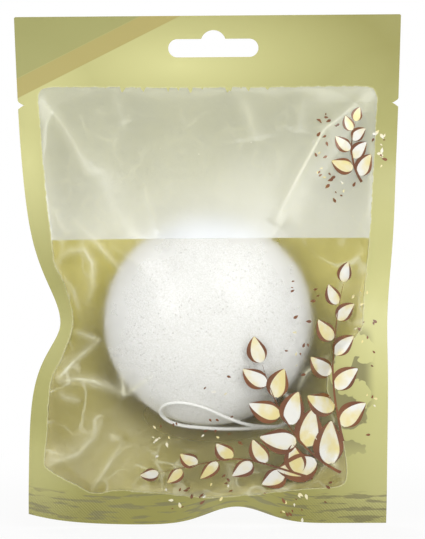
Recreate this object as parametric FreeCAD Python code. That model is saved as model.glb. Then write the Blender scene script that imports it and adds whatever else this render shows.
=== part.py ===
import FreeCAD, Part
import math
import os
from FreeCAD import Vector

os.makedirs("parts", exist_ok=True)

# A half-ball konjac sponge with a cotton hanging loop, sealed in a flat film pouch that hangs by a header slot.
# The origin is the middle of the hang slot, +Z is up, and the front of the pouch faces -Y. Millimetres.

# Pouch: two webs of film, welded all round, with a header above the tear line
pouch_width = 138.0
pouch_height = 180.7
film_gauge = 0.2
header_height = 31.4
header_seal = 25.7
side_seal = 7.4
bottom_seal = 11.0

# Hang slot: a flat slot with a round hump in the middle of its upper edge
slot_drop = 11.5
slot_offset = 2.2
slot_length = 32.0
slot_height = 6.5
slot_hump_width = 9.0
slot_hump_rise = 3.1

# Tear notches, one in each side edge, on the tear line
notch_depth = 2.0
notch_height = 2.6

# Edges of the filled pouch: both sides lean in downwards, and the filling draws them in further
left_lean = 4.1
right_lean = 6.6
left_margin = 8.2
left_reach_above = 21.5
left_reach_below = 15.0
right_pinch = 1.8
right_reach = 25.0
bottom_arch = 6.6
bottom_arch_offset = 7.1
bottom_arch_reach = 14.9
left_corner_lift = 6.2
right_corner_lift = 0.4
bottom_wave = 2.5
bottom_wave_length = 74.0
side_wave = 1.5
side_wave_length = 50.0
side_wave_drop = 5.1
side_wave_lean = 11.0

# Sponge: a half ball on its rounded flat base, dome to the front
sponge_diameter = 74.0
sponge_dome = 26.0
sponge_base = 12.0
sponge_offset = 2.5
sponge_rise = 24.3

# Film over the sponge: the room between them, and how far loose film stands off a straight run, above and below
film_room = 0.4
film_slack = 2.0
film_slack_below = 1.6

# Bay of the right weld, which reaches into the window beside the foot of the sponge: share of the window, direction
weld_bay = 0.25
weld_bay_angle = -25.0
weld_bay_spread = 17.0

# Folds of both webs towards the front: how far the back web folds clear of the sponge, and below which level
fold_spread = 1.6
fold_skirt = 2.6
fold_room = 8.0
fold_top = 35.0
fold_fade = 8.0
fold_weld_share = 0.06

# Hanging loop of cotton thread, sewn into the rim of the sponge with its knot inside
cord_diameter = 1.2
cord_spacing = 2.4
cord_exit_angle = -44.0
cord_exit_depth = 2.2
cord_straight = 3.7
cord_proud = 0.3
cord_room = 0.3
knot_diameter = 4.6
knot_depth = 12.0

# Counts and powers of the smooth forms
seal_shares = (0.0, 0.45, 0.85, 1.0)
columns_between = 46
rows_between = 52
window_corner_power = 8
base_power = 4
dome_power = 2
dome_steps = 12
corner_lift_power = 4
bottom_fade_power = 5
film_degree = 3

# One overrun serves all cuts
overrun = 5.0

# Levels and places that follow from the sizes above
top_level = slot_drop
seal_level = top_level - header_seal
tear_level = top_level - header_height
bottom_level = top_level - pouch_height
middle_x = -slot_offset
left_top = middle_x - pouch_width / 2
right_top = middle_x + pouch_width / 2
sponge_radius = sponge_diameter / 2
sponge_x = -sponge_offset
sponge_z = bottom_level + bottom_seal + sponge_rise + sponge_radius
sponge_middle = Vector(sponge_x, 0, sponge_z)
film_fall = seal_level - bottom_level


# Outline of the filled pouch

def drop_share(level):
    return (top_level - level) / pouch_height


def drawn_in(level, depth, reach_above, reach_below):
    """Depth of a drawn-in edge at a level: a smooth bay that is deepest beside the middle of the sponge."""
    away = level - sponge_z
    reach = reach_above if away > 0 else reach_below
    return depth / (1 + (away / reach) ** 2)


def left_edge(level):
    leaning = left_top + left_lean * drop_share(level)
    beside_sponge = left_top + left_lean * drop_share(sponge_z)
    depth = sponge_x - sponge_radius - left_margin - side_seal - beside_sponge
    return leaning + drawn_in(level, depth, left_reach_above, left_reach_below)


def right_edge(level):
    leaning = right_top - right_lean * drop_share(level)
    return leaning - drawn_in(level, right_pinch, right_reach, right_reach)


def bottom_rise(x):
    """How far the bottom edge stands above its lowest level: an arch under the sponge and two lifted corners."""
    arch = bottom_arch * math.exp(-((x - bottom_arch_offset) / bottom_arch_reach) ** 2)
    aside_share = (x - middle_x) / (pouch_width / 2)
    lift = left_corner_lift if aside_share < 0 else right_corner_lift
    return arch + lift * abs(aside_share) ** corner_lift_power


# The two webs: flat and face to face in the welds, drawn tight over the sponge between them

def taut_height(distance, reach, rim, crown, power):
    """Height of film drawn tight from a weld at reach over a rounded form of that rim radius and crown."""
    touch = (rim ** power / reach) ** (1 / (power - 1))
    if distance <= touch:
        return crown * (1 - (distance / rim) ** power) ** (1 / power)
    touch_height = crown * (1 - (touch / rim) ** power) ** (1 / power)
    return touch_height * (reach - distance) / (reach - touch)


def window_share(x, z, level):
    """Share of the way from the middle of the sponge to the weld: 0 at the sponge, 1 at the weld."""
    angle = math.degrees(math.atan2(z - sponge_z, x - sponge_x))
    bay = weld_bay * math.exp(-((angle - weld_bay_angle) / weld_bay_spread) ** 2)
    weld_z = bottom_level + bottom_seal + bottom_rise(x) * (1 - bottom_seal / film_fall) ** bottom_fade_power
    shares = (
        (sponge_x - x) / (sponge_x - left_edge(level) - side_seal),
        (x - sponge_x) / (right_edge(level) - side_seal - sponge_x),
        (z - sponge_z) / (seal_level - sponge_z),
        (sponge_z - z) / (sponge_z - weld_z),
    )
    plain_share = sum(max(share, 0) ** window_corner_power for share in shares) ** (1 / window_corner_power)
    return plain_share / (1 - bay)


def film_height(x, z, level, crown, power):
    share = window_share(x, z, level)
    if share >= 1:
        return 0
    distance = math.hypot(x - sponge_x, z - sponge_z)
    rim = sponge_radius + film_room
    reach = distance / share if share > 0 else rim + left_margin
    upward = (z - sponge_z) / distance if distance > 0 else 0
    slack = film_slack_below + (film_slack - film_slack_below) * (1 + upward) / 2
    slack = slack * 4 * share * (1 - share)
    return taut_height(distance, reach, rim, crown + film_room, power) + slack


# Folds: height, width, and the route sideways and up from the middle of the sponge
folds = [
    (1.5, 2.8, [(59.9, 81.9), (41.3, 67.5), (32.0, 50.9), (23.0, 33.9)]),
    (0.9, 2.2, [(-59.0, 80.8), (-51.6, 70.6), (-46.6, 62.1), (-42.5, 50.9)]),
    (1.0, 1.6, [(-48.6, 37.2), (-38.6, 27.7), (-30.1, 17.8)]),
    (1.6, 1.8, [(-54.0, 21.4), (-48.5, 25.4), (-43.3, 25.7), (-40.5, 20.9), (-40.5, 12.9), (-42.5, 5.9)]),
    (1.2, 1.6, [(-48.5, -2.9), (-37.9, -5.9)]),
    (1.7, 1.6, [(-37.9, -5.9), (-47.1, -13.4), (-54.3, -20.8)]),
    (1.7, 2.2, [(-54.5, -21.3), (-46.1, -19.8), (-40.6, -20.3), (-34.6, -22.8), (-29.1, -25.1)]),
    (1.4, 2.0, [(-57.8, -52.0), (-53.6, -49.2), (-46.6, -46.7), (-40.6, -40.3), (-37.5, -33.1)]),
    (1.7, 1.8, [(-42.6, -60.2), (-38.6, -54.7), (-34.6, -48.7), (-29.6, -41.3)]),
    (1.1, 2.0, [(47.5, -56.1), (41.5, -47.1), (35.5, -39.1)]),
]


def clipped(value):
    return min(max(value, 0), 1)


def fold_rise(x, z):
    """How far the folds stand up at a place: each is highest on its route and falls off to both sides and ends."""
    total = 0
    for height, width, route in folds:
        places = [(sponge_x + aside, sponge_z + up) for aside, up in route]
        runs = [math.dist(start, end) for start, end in zip(places, places[1:])]
        nearest = math.inf
        along = 0
        before = 0
        for (start_x, start_z), (end_x, end_z), run in zip(places, places[1:], runs):
            step_x = end_x - start_x
            step_z = end_z - start_z
            share = clipped(((x - start_x) * step_x + (z - start_z) * step_z) / run ** 2)
            distance = math.hypot(x - start_x - share * step_x, z - start_z - share * step_z)
            if distance < nearest:
                nearest = distance
                along = before + share * run
            before += run
        fading = clipped(math.sin(math.pi * clipped(along / before))) ** 0.4
        away = nearest / (width * fold_spread)
        total += height * fading * (0.6 * math.exp(-away) + 0.4 * math.exp(-((away / fold_skirt) ** 2)))
    return total


def folded_forward(x, z, level, side):
    """Both webs fold together, the back one only where it is clear of the sponge, and neither in the weld."""
    rise = fold_rise(x, z) * clipped((1 - window_share(x, z, level)) / fold_weld_share)
    if side < 0:
        return rise
    clear = clipped((math.hypot(x - sponge_x, z - sponge_z) - sponge_radius) / fold_room)
    return rise * clear * clipped((sponge_z + fold_top - z) / fold_fade)


def side_swing(x, level):
    """Both side welds swing to the front and back down their length, against each other and not in the header."""
    aside = (x - middle_x) / (pouch_width / 2)
    place = level - sponge_z + side_wave_drop + side_wave_lean * aside
    started = clipped((seal_level - level) / side_wave_length)
    return -side_wave * aside * abs(aside) * started * math.cos(2 * math.pi * place / side_wave_length)


def film_lines():
    """Shares across and down the film at which its surface has poles, with close lines in the welds."""
    columns = [("left", share) for share in seal_shares]
    columns += [("between", k / columns_between) for k in range(1, columns_between)]
    columns += [("right", share) for share in reversed(seal_shares)]
    fall_share = 1 - bottom_seal / film_fall
    rows = [fall_share * k / rows_between for k in range(rows_between)]
    rows += [fall_share + (1 - fall_share) * (1 - share) for share in reversed(seal_shares)]
    return columns, rows


def film_pole(column, fall, crown, power, side):
    level = seal_level - fall * film_fall
    zone, share = column
    inner_left = left_edge(level) + side_seal
    inner_right = right_edge(level) - side_seal
    if zone == "left":
        x = left_edge(level) + share * side_seal
    elif zone == "right":
        x = right_edge(level) - share * side_seal
    else:
        x = inner_left + share * (inner_right - inner_left)
    fade = fall ** bottom_fade_power
    z = level + bottom_rise(x) * fade
    swing = -bottom_wave * math.cos(2 * math.pi * (x - bottom_arch_offset) / bottom_wave_length) * fade
    swing += side_swing(x, level) - folded_forward(x, z, level, side)
    return Vector(x, swing + side * film_height(x, z, level, crown, power), z)


def film_surface(crown, power, side):
    columns, rows = film_lines()
    poles = [[film_pole(column, fall, crown, power, side) for fall in rows] for column in columns]

    def knots(count):
        spans = count - film_degree
        multiplicities = [film_degree + 1] + [1] * (spans - 1) + [film_degree + 1]
        return multiplicities, [k / spans for k in range(spans + 1)]

    across_counts, across_knots = knots(len(columns))
    down_counts, down_knots = knots(len(rows))
    surface = Part.BSplineSurface()
    surface.buildFromPolesMultsKnots(
        poles, across_counts, down_counts, across_knots, down_knots, False, False, film_degree, film_degree
    )
    return surface.toShape()


def flat_prism(points, from_y, to_y):
    corners = [Vector(x, from_y, z) for x, z in points]
    return Part.Face(Part.makePolygon(corners + corners[:1])).extrude(Vector(0, to_y - from_y, 0))


def above_tear():
    return flat_prism(
        [
            (left_top - overrun, tear_level),
            (right_top + overrun, tear_level),
            (right_top + overrun, top_level + overrun),
            (left_top - overrun, top_level + overrun),
        ],
        -pouch_width,
        pouch_width,
    )


def hang_slot():
    end_radius = slot_height / 2
    reach = slot_length / 2 - end_radius
    bar = flat_prism(
        [(-reach, -end_radius), (reach, -end_radius), (reach, end_radius), (-reach, end_radius)],
        -overrun,
        overrun,
    )
    for x in (-reach, reach):
        bar = bar.fuse(Part.makeCylinder(end_radius, 2 * overrun, Vector(x, -overrun, 0), Vector(0, 1, 0)))
    hump_radius = slot_hump_width / 2
    hump_middle = end_radius + slot_hump_rise - hump_radius
    hump = Part.makeCylinder(hump_radius, 2 * overrun, Vector(0, -overrun, hump_middle), Vector(0, 1, 0))
    return bar.fuse(hump)


def tear_notches():
    left = left_edge(tear_level)
    right = right_edge(tear_level)
    wedges = []
    for edge, inward in ((left, 1), (right, -1)):
        outside = edge - inward * overrun
        opening = notch_height * (overrun + notch_depth) / notch_depth
        wedges.append(
            flat_prism(
                [
                    (outside, tear_level - opening / 2),
                    (edge + inward * notch_depth, tear_level),
                    (outside, tear_level + opening / 2),
                ],
                -overrun,
                overrun,
            )
        )
    return wedges[0].fuse(wedges[1])


def film_pair(crown, power, side):
    """One web of film, parted at the tear line into its header strip and its pouch wall."""
    thickness = Vector(0, side * film_gauge, 0)
    wall = film_surface(crown, power, side).extrude(thickness)
    plate = flat_prism(
        [
            (left_edge(top_level), top_level),
            (right_edge(top_level), top_level),
            (right_edge(seal_level), seal_level),
            (left_edge(seal_level), seal_level),
        ],
        0,
        side * film_gauge,
    )
    upper = above_tear()
    notches = tear_notches()
    strip = plate.fuse(wall.common(upper)).cut(hang_slot()).cut(notches)
    return strip, wall.cut(upper).cut(notches)


# Sponge, knot and hanging loop

def sponge_form():
    """Half section from the base over the rounded rim to the top of the dome, turned about its own axis."""
    flat_radius = sponge_radius - sponge_base
    turn_share = math.sqrt(0.5)

    def at(radius, y):
        return Vector(sponge_x + radius, y, sponge_z)

    base = Part.LineSegment(at(0, sponge_base), at(flat_radius, sponge_base))
    rim = Part.Arc(
        at(flat_radius, sponge_base),
        at(flat_radius + sponge_base * turn_share, sponge_base * turn_share),
        at(sponge_radius, 0),
    )
    turns = [math.pi / 2 * k / dome_steps for k in range(dome_steps + 1)]
    dome = Part.BSplineCurve()
    dome.interpolate(
        Points=[at(sponge_radius * math.cos(turn), -sponge_dome * math.sin(turn)) for turn in turns[:-1]]
        + [at(0, -sponge_dome)],
        InitialTangent=Vector(0, -1, 0),
        FinalTangent=Vector(-1, 0, 0),
    )
    axis = Part.LineSegment(at(0, -sponge_dome), at(0, sponge_base))
    section = Part.Face(Part.Wire([piece.toShape() for piece in (base, rim, dome, axis)]))
    return section.revolve(sponge_middle, Vector(0, 1, 0), 360)


def exit_direction():
    angle = math.radians(cord_exit_angle)
    return Vector(math.cos(angle), 0, math.sin(angle))


def strand_line(k):
    """Start inside the sponge and end just past its rim of strand k of the sewn thread, 0 in front, 1 behind."""
    y = cord_exit_depth + (k - 1 / 2) * cord_spacing
    depth = Vector(0, y, 0)
    inner = sponge_middle + exit_direction() * (sponge_radius - knot_depth) + depth
    outer = sponge_middle + exit_direction() * (sponge_radius + cord_proud) + depth
    return inner, outer


def sewn_thread(strand_diameter, ball_diameter, past):
    middle = sponge_middle + exit_direction() * (sponge_radius - knot_depth) + Vector(0, cord_exit_depth, 0)
    form = Part.makeSphere(ball_diameter / 2, middle)
    for k in range(2):
        inner, outer = strand_line(k)
        length = (outer - inner).Length + past
        form = form.fuse(Part.makeCylinder(strand_diameter / 2, length, inner, exit_direction()))
    return form


# Route of the free loop from the front strand, round the foot of the dome and back to the back strand:
# sideways from the middle of the sponge, depth towards the back, and height from the middle of the sponge
loop_route = [
    (30.2, 0.3, -32.1),
    (28.7, -0.8, -35.5),
    (25.5, -2.4, -37.4),
    (20.4, -4.7, -37.4),
    (13.6, -8.6, -36.5),
    (6.6, -12.3, -33.9),
    (0.0, -16.6, -30.5),
    (-5.7, -18.0, -28.4),
    (-11.3, -17.0, -27.9),
    (-15.3, -14.9, -28.6),
    (-17.4, -11.2, -30.7),
    (-16.8, -8.4, -33.0),
    (-13.8, -6.2, -35.4),
    (-9.2, -5.7, -36.8),
    (-3.5, -6.9, -37.3),
    (2.1, -5.8, -37.8),
    (7.8, -4.6, -38.1),
    (13.6, -3.2, -38.0),
    (19.8, -1.4, -37.9),
    (25.4, 0.7, -37.7),
    (28.9, 2.2, -35.7),
    (30.6, 3.0, -32.2),
]


def loop_points():
    start = strand_line(0)[1]
    end = strand_line(1)[1]
    out = exit_direction() * cord_straight
    between = [sponge_middle + Vector(*place) for place in loop_route]
    return [start, start + out] + between + [end + out, end]


def rounded_path(points):
    """Straight runs joined by tangent arcs, each as large as its two runs allow. Gives the wire and the radii."""
    run_share = 0.45
    edges = []
    radii = []
    last = points[0]
    for before, corner, after in zip(points, points[1:], points[2:]):
        back = (before - corner).normalize()
        ahead = (after - corner).normalize()
        shorter = min((before - corner).Length, (after - corner).Length)
        trim = run_share * shorter
        half_turn = (math.pi - back.getAngle(ahead)) / 2
        radius = trim / math.tan(half_turn)
        radii.append(radius)
        bisector = (back + ahead).normalize()
        centre = corner + bisector * math.hypot(radius, trim)
        enter = corner + back * trim
        leave = corner + ahead * trim
        edges.append(Part.LineSegment(last, enter).toShape())
        edges.append(Part.Arc(enter, centre - bisector * radius, leave).toShape())
        last = leave
    edges.append(Part.LineSegment(last, points[-1]).toShape())
    return Part.Wire(edges), radii


def hanging_loop():
    path, radii = rounded_path(loop_points())
    circle = Part.Circle(strand_line(0)[1], exit_direction(), cord_diameter / 2)
    tube = path.makePipeShell([Part.Wire(circle.toShape())], True, False)
    section = math.pi * (cord_diameter / 2) ** 2
    print("loop radii", [round(radius, 1) for radius in radii])
    print("loop length", round(path.Length, 1), "volume share", round(tube.Volume / (section * path.Length), 4))
    samples = path.discretize(Distance=cord_diameter)
    apart = int(math.pi * min(radii) / cord_diameter)
    gaps = [
        (samples[i] - samples[j]).Length - cord_diameter
        for i in range(len(samples))
        for j in range(i + apart, len(samples))
    ]
    print("least gap of the loop to itself", round(min(gaps), 2))
    return tube


# All the pieces
header_front, pouch_front = film_pair(sponge_dome, dome_power, -1)
header_back, pouch_back = film_pair(sponge_base, base_power, 1)
sponge = sponge_form().cut(
    sewn_thread(cord_diameter + 2 * cord_room, knot_diameter + 2 * cord_room, overrun)
)
pieces = {
    "header_front_film": header_front,
    "header_back_film": header_back,
    "pouch_front_film": pouch_front,
    "pouch_back_film": pouch_back,
    "sponge": sponge,
    "loop_knot": sewn_thread(cord_diameter, knot_diameter, 0),
    "hang_loop": hanging_loop(),
}
for name, shape in pieces.items():
    box = shape.BoundBox
    print(
        name, len(shape.Solids), shape.isValid(), round(shape.Volume, 1),
        [round(v, 2) for v in (box.XMin, box.YMin, box.ZMin, box.XMax, box.YMax, box.ZMax)],
    )
    shape.exportStep("parts/" + name + ".step")
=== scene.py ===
import math

import bpy
import numpy as np
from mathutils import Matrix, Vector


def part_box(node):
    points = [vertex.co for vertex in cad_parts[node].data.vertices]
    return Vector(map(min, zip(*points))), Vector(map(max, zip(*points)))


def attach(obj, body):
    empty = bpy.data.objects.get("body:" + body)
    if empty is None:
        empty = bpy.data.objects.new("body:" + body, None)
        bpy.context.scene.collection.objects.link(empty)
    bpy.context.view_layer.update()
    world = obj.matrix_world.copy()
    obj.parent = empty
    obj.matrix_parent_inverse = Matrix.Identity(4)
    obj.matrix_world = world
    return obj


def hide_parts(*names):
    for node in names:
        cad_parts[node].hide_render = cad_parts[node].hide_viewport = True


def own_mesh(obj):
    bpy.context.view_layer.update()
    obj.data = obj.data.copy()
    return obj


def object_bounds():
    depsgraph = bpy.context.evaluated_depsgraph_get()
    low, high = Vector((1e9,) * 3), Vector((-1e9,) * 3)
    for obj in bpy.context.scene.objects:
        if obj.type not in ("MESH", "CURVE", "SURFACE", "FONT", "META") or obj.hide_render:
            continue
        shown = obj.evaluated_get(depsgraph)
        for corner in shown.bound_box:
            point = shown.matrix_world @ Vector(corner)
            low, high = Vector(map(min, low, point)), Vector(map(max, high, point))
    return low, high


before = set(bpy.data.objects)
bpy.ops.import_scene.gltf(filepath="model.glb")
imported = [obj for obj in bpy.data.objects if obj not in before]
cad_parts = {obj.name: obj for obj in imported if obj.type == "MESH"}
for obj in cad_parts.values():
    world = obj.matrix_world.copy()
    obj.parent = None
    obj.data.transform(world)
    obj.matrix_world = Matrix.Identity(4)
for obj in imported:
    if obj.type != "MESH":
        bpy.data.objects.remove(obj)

cad_low, cad_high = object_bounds()


# Sponge: a half ball of konjac root fibre, set in a mould and dried, so it is one piece of fine white foam.
# It lies loose in the pouch with its dome to the front. The sewn thread leaves two small dents in its rim.
MM = 0.001
sponge_low, sponge_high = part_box("sponge")
sponge_x = (sponge_low.x + sponge_high.x) / 2
sponge_z = (sponge_low.z + sponge_high.z) / 2
sponge_middle = np.array([sponge_x, 0, sponge_z])
sponge_radius = (sponge_high.x - sponge_low.x) / 2
sponge_dome = -sponge_low.y
sponge_base = sponge_high.y
sponge_rows = 150
sponge_columns = 280
profile_steps = 60
lump_table = 4096
lump_primes = (73856093, 19349663, 83492791)
lump_height = 0.22 * MM
lump_size = 10 * MM
lump_seed = 1
grain_height = 0.04 * MM
grain_size = 2.4 * MM
grain_seed = 2
pit_depth = 0.06 * MM
pit_size = 1.5 * MM
pit_seed = 3
pit_start = 0.3
dent_depth = 0.9 * MM
dent_reach = 1.7 * MM
exit_angle = math.radians(-44)
exit_direction = np.array([math.cos(exit_angle), 0, math.sin(exit_angle)])
exit_depths = (1.0 * MM, 3.4 * MM)
sharp_angle = math.radians(50)


def lumps(points, size, seed):
    """Smooth noise from -1 to 1: seeded values at the corners of cubes of that size, eased from one corner
    to the next."""
    values = np.random.default_rng(seed).uniform(-1, 1, lump_table)
    cell = np.floor(points / size).astype(np.int64)
    share = points / size - cell
    share = share * share * (3 - 2 * share)
    total = 0
    for corner in np.ndindex(2, 2, 2):
        key = np.bitwise_xor.reduce((cell + corner) * lump_primes, axis=-1) % lump_table
        total = total + np.prod(np.where(corner, share, 1 - share), axis=-1) * values[key]
    return total


def resampled(points, count, closed=False):
    """Points at even distances along the straight runs that join the given points."""
    steps = np.linalg.norm(np.diff(points, axis=0), axis=1)
    run = np.concatenate([[0], np.cumsum(steps)])
    where = np.linspace(0, run[-1], count, endpoint=not closed)
    return np.stack([np.interp(where, run, points[:, k]) for k in range(points.shape[1])], axis=1)


def grid_faces(rows, columns, closed):
    """Corners of the quads between neighbouring rows and columns, round to the first column if closed."""
    row, column = np.meshgrid(np.arange(rows - 1), np.arange(columns - (not closed)), indexing="ij")
    beside = (column + 1) % columns
    upper = row * columns
    lower = upper + columns
    corners = (upper + column, upper + beside, lower + beside, lower + column)
    return np.stack(corners, axis=-1).reshape(-1, 4)


def add_piece(name, points, faces, material):
    """A smooth mesh of these points and faces, with sharp edges where faces meet at a steep angle."""
    mesh = bpy.data.meshes.new(name)
    mesh.from_pydata(np.reshape(points, (-1, 3)).tolist(), [], faces)
    mesh.materials.append(material)
    mesh.shade_smooth()
    mesh.set_sharp_from_angle(angle=sharp_angle)
    piece = bpy.data.objects.new(name, mesh)
    bpy.context.scene.collection.objects.link(piece)
    return piece


def srgb(red, green, blue):
    """The linear colour of a colour given in steps of 255."""
    shares = np.array([red, green, blue]) / 255
    linear = np.where(shares > 0.04045, ((shares + 0.055) / 1.055) ** 2.4, shares / 12.92)
    return (*linear.tolist(), 1.0)


def put(tree, kind, inputs=(), **settings):
    """Adds a shader node, sets its options and fills its inputs: a socket is linked, and a value is set."""
    node = tree.nodes.new("ShaderNode" + kind)
    for name, value in settings.items():
        setattr(node, name, value)
    for name, value in dict(inputs).items():
        if isinstance(value, bpy.types.NodeSocket):
            tree.links.new(value, node.inputs[name])
        else:
            node.inputs[name].default_value = value
    return node


def maths(tree, operation, *values, clamp=False):
    """What a Math node makes of these sockets and numbers."""
    return put(tree, "Math", dict(enumerate(values)), operation=operation, use_clamp=clamp).outputs[0]


def product(tree, first, *others):
    """These sockets and numbers multiplied with each other."""
    for value in others:
        first = maths(tree, "MULTIPLY", first, value)
    return first


def mixed(tree, factor, first, second):
    """The first colour where the factor is 0 and the second where it is 1."""
    return put(tree, "Mix", {0: factor, 6: first, 7: second}, data_type="RGBA").outputs[2]


def eased(tree, value, start, end):
    """0 where the value is at start and 1 where it is at end, with a soft step between them."""
    inputs = {"Value": value, "From Min": start, "From Max": end}
    return put(tree, "MapRange", inputs, interpolation_type="SMOOTHSTEP").outputs[0]


def noise(tree, place, size, detail=2.0):
    """Cloudy noise between 0 and 1, whose largest clouds have about that size."""
    return put(tree, "TexNoise", {"Vector": place, "Scale": 1 / size, "Detail": detail}).outputs["Fac"]


def new_material(name):
    """An empty material, its node tree, and the surface input of its output."""
    material = bpy.data.materials.new(name)
    material.use_nodes = True
    tree = material.node_tree
    tree.nodes.clear()
    return material, tree, put(tree, "OutputMaterial").inputs["Surface"]


def sponge_foam():
    """White foam: a fine grain with small open pores, and painted shade that makes the pores a little
    darker.
    """
    material, tree, surface = new_material("sponge_foam")
    place = put(tree, "TexCoord").outputs["Object"]
    grain = noise(tree, place, 0.5 * MM, 5.0)
    patches = noise(tree, place, 11 * MM)
    inputs = {"Vector": place, "Scale": 1 / (1.3 * MM)}
    cells = put(tree, "TexVoronoi", inputs, feature="F1").outputs["Distance"]
    pore = product(tree, eased(tree, cells, 0.3, 0.1), eased(tree, patches, 0.35, 0.6))
    height = maths(tree, "SUBTRACT", grain, pore)
    body = mixed(tree, eased(tree, grain, 0.3, 0.7), srgb(236, 236, 232), srgb(251, 251, 250))
    # Painted shade: the pores are coloured a little darker than the foam.
    colour = mixed(tree, product(tree, pore, 0.35), body, srgb(190, 188, 180))
    bump = put(tree, "Bump", {"Height": height, "Strength": 0.7, "Distance": 0.3 * MM})
    foam = put(tree, "BsdfPrincipled", {"Base Color": colour, "Normal": bump.outputs[0], "Roughness": 0.95})
    tree.links.new(foam.outputs[0], surface)
    return material


def half_ball():
    """A profile from the base over the round rim to the top of the dome, turned about its axis and roughened
    along its normals."""
    turn = np.linspace(0, np.pi / 2, profile_steps)
    flat_radius = sponge_radius - sponge_base
    rim = np.stack([flat_radius + sponge_base * np.sin(turn), sponge_base * np.cos(turn)], axis=1)
    dome = np.stack([sponge_radius * np.cos(turn), -sponge_dome * np.sin(turn)], axis=1)
    profile = resampled(np.vstack([[[0, sponge_base]], rim, dome[1:]]), sponge_rows + 2)
    slope = np.gradient(profile, axis=0)
    slope = slope / np.linalg.norm(slope, axis=1, keepdims=True)
    around = np.linspace(0, 2 * np.pi, sponge_columns, endpoint=False)

    def turned(radius, depth):
        """A ring round the axis for each radius and depth."""
        return np.stack([radius * np.cos(around), depth + 0 * around, radius * np.sin(around)], axis=-1)

    form = turned(profile[:, :1], profile[:, 1:]) + sponge_middle
    outward = turned(-slope[:, 1:], slope[:, :1])
    pits = np.clip(lumps(form, pit_size, pit_seed) - pit_start, 0, 1)
    rough = lump_height * lumps(form, lump_size, lump_seed)
    rough = rough + grain_height * lumps(form, grain_size, grain_seed) - pit_depth * pits
    for depth in exit_depths:
        mouth = sponge_middle + sponge_radius * exit_direction + [0, depth, 0]
        rough = rough - dent_depth * np.exp(-(np.linalg.norm(form - mouth, axis=-1) / dent_reach) ** 2)
    form = form + outward * rough[..., None]
    body = form[1:-1].reshape(-1, 3)
    ring = np.arange(sponge_columns)
    beside = (ring + 1) % sponge_columns
    last = len(body) - sponge_columns
    base_fan = np.stack([0 * ring + len(body), beside, ring], axis=1)
    dome_fan = np.stack([0 * ring + len(body) + 1, last + ring, last + beside], axis=1)
    faces = grid_faces(sponge_rows, sponge_columns, True).tolist() + base_fan.tolist() + dome_fan.tolist()
    return np.vstack([body, form[0].mean(axis=0), form[-1].mean(axis=0)]), faces


sponge = add_piece("sponge_half_ball", *half_ball(), sponge_foam())
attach(sponge, "sponge")
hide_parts("sponge")


# Knot: the two ends of the cotton thread are tied inside the foam, and two sewn strands run out to the rim.
# It is a three-lobed knot of the same thread, out of sight as long as the sponge is whole.
cord_diameter = 1.2 * MM
knot_depth = 12 * MM
knot_diameter = 4.6 * MM
knot_rings = 160
knot_aside = (0.3, 0.2, 0.9)
trefoil_width = 6
strand_rings = 12
strand_proud = 0.3 * MM
thread_sides = 12
thread_plies = 3
ply_share = 0.1
ply_pitch = 2.6 * MM


def thread_tube(path, away, closed):
    """A twisted thread along a path: rings whose radius swells and shrinks with each ply as the plies wind
    round. Each ring is square to the path and starts square to the direction away."""
    if closed:
        along = np.roll(path, -1, axis=0) - np.roll(path, 1, axis=0)
    else:
        along = np.gradient(path, axis=0)
    along = along / np.linalg.norm(along, axis=1, keepdims=True)
    first = np.cross(along, away)
    first = first / np.linalg.norm(first, axis=1, keepdims=True)
    second = np.cross(along, first)
    steps = np.linalg.norm(np.diff(path, axis=0, prepend=path[:1]), axis=1)
    turn = np.linspace(0, 2 * np.pi, thread_sides, endpoint=False)
    wound = turn - 2 * np.pi * (np.cumsum(steps) / ply_pitch)[:, None] / thread_plies
    radius = cord_diameter / 2 * (1 - ply_share * (1 - np.abs(np.cos(thread_plies * wound / 2))))
    ring = np.cos(turn)[:, None] * first[:, None] + np.sin(turn)[:, None] * second[:, None]
    points = (path[:, None] + radius[..., None] * ring).reshape(-1, 3)
    faces = grid_faces(len(path), thread_sides, True).tolist()
    last = len(points) - thread_sides
    if closed:
        seam = np.arange(thread_sides)
        beside = (seam + 1) % thread_sides
        faces += np.stack([last + seam, last + beside, beside, seam], axis=1).tolist()
    else:
        faces += [list(range(thread_sides))[::-1], list(range(last, last + thread_sides))]
    return points, faces


def joined(parts):
    """The points and faces of several meshes as one."""
    points = []
    faces = []
    count = 0
    for part_points, part_faces in parts:
        faces += [[count + corner for corner in face] for face in part_faces]
        points.append(np.reshape(part_points, (-1, 3)))
        count += len(points[-1])
    return np.vstack(points), faces


def cotton_thread():
    """White cotton: a soft fuzz of lighter and darker fibres, in tone and in relief."""
    material, tree, surface = new_material("cotton_thread")
    place = put(tree, "TexCoord").outputs["Object"]
    fibres = noise(tree, place, 0.25 * MM, 4.0)
    colour = mixed(tree, eased(tree, fibres, 0.3, 0.7), srgb(240, 240, 236), srgb(254, 254, 252))
    bump = put(tree, "Bump", {"Height": fibres, "Strength": 0.6, "Distance": 0.12 * MM})
    inputs = {"Base Color": colour, "Normal": bump.outputs[0], "Roughness": 0.9, "Sheen Weight": 0.3}
    tree.links.new(put(tree, "BsdfPrincipled", inputs).outputs[0], surface)
    return material


def tied_thread():
    """A trefoil, (sin t + 2 sin 2t, cos t - 2 cos 2t, -sin 3t), and two straight strands from it to the
    rim."""
    turn = np.linspace(0, 2 * np.pi, knot_rings, endpoint=False)
    lobes = [np.sin(turn) + 2 * np.sin(2 * turn), np.cos(turn) - 2 * np.cos(2 * turn), -np.sin(3 * turn)]
    trefoil = np.stack(lobes, axis=1) * (knot_diameter - cord_diameter) / trefoil_width
    inside = sponge_middle + exit_direction * (sponge_radius - knot_depth)
    rim = sponge_middle + exit_direction * (sponge_radius + strand_proud)
    parts = [thread_tube(inside + [0, np.mean(exit_depths), 0] + trefoil, knot_aside, True)]
    for depth in exit_depths:
        strand = np.linspace(inside + [0, depth, 0], rim + [0, depth, 0], strand_rings)
        parts.append(thread_tube(strand, [0, 1, 0], False))
    return joined(parts)


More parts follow.
